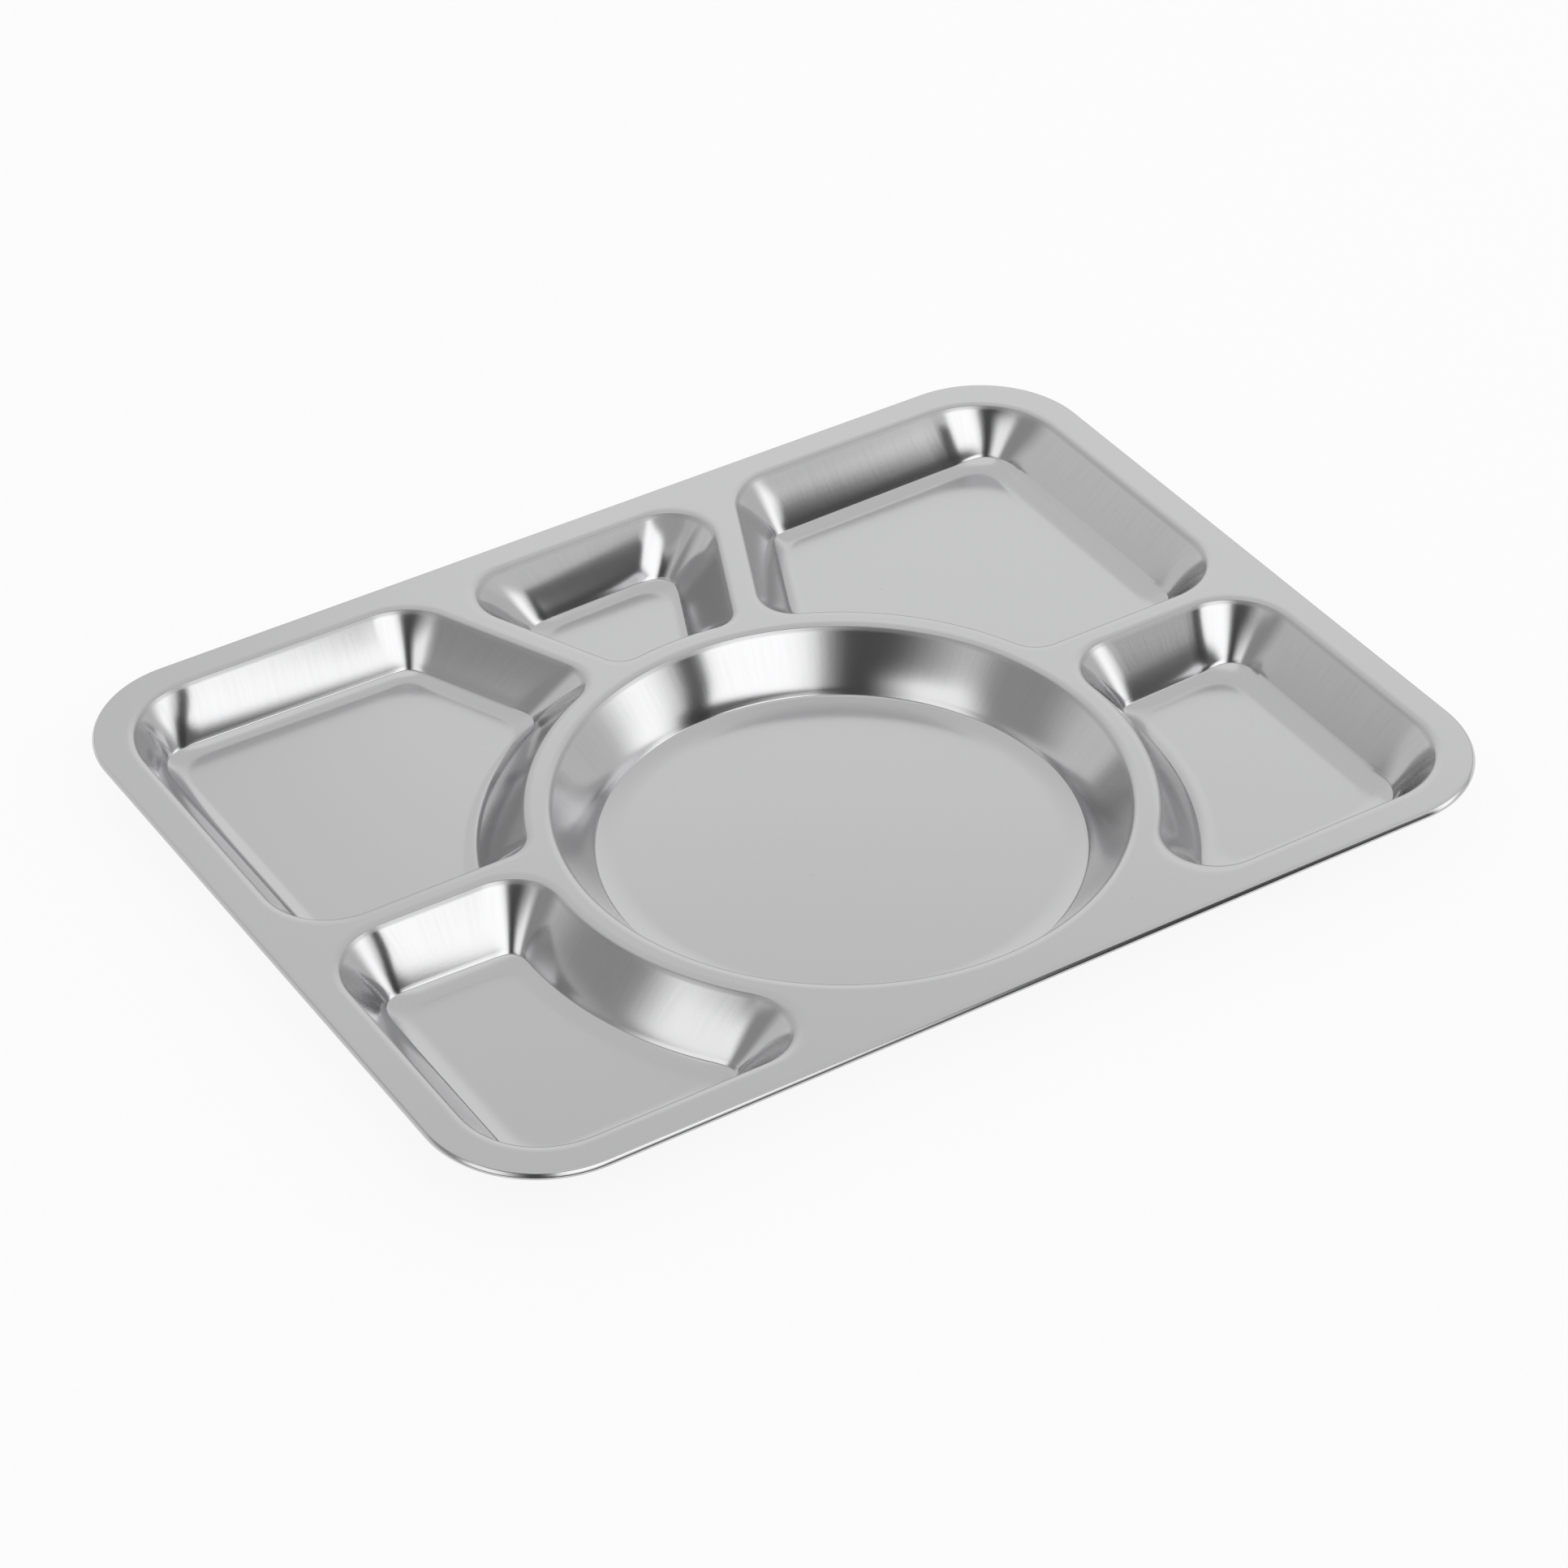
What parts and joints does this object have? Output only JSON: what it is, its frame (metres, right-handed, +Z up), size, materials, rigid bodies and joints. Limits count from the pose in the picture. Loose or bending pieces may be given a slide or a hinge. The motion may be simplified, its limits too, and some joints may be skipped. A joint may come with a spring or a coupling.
{
  "type": "compartment food tray",
  "caption": "Rectangular pressed steel food tray with a round main well, side wells, a small back middle well and a rolled rim, for serving a meal in separate portions.",
  "frame": {"origin": "under the middle of the tray's outline, on the surface that its well floors stand on", "axes": "+X along the tray to the right, +Y to its back, away from the round well, +Z up"},
  "size_m": [0.395, 0.3, 0.0206],
  "materials": {
    "stainless_sheet": "satin mill finish, drawn bright on the well walls"
  },
  "bodies": {
    "root": {"deck": "stainless_sheet", "rolled_rim": "stainless_sheet", "round_well_wall": "stainless_sheet", "round_well_floor": "stainless_sheet", "back_left_well_wall": "stainless_sheet", "back_left_well_floor": "stainless_sheet", "back_middle_well_wall": "stainless_sheet", "back_middle_well_floor": "stainless_sheet", "back_right_well_wall": "stainless_sheet", "back_right_well_floor": "stainless_sheet", "front_left_well_wall": "stainless_sheet", "front_left_well_floor": "stainless_sheet", "front_right_well_wall": "stainless_sheet", "front_right_well_floor": "stainless_sheet"}
  },
  "joints": []
}
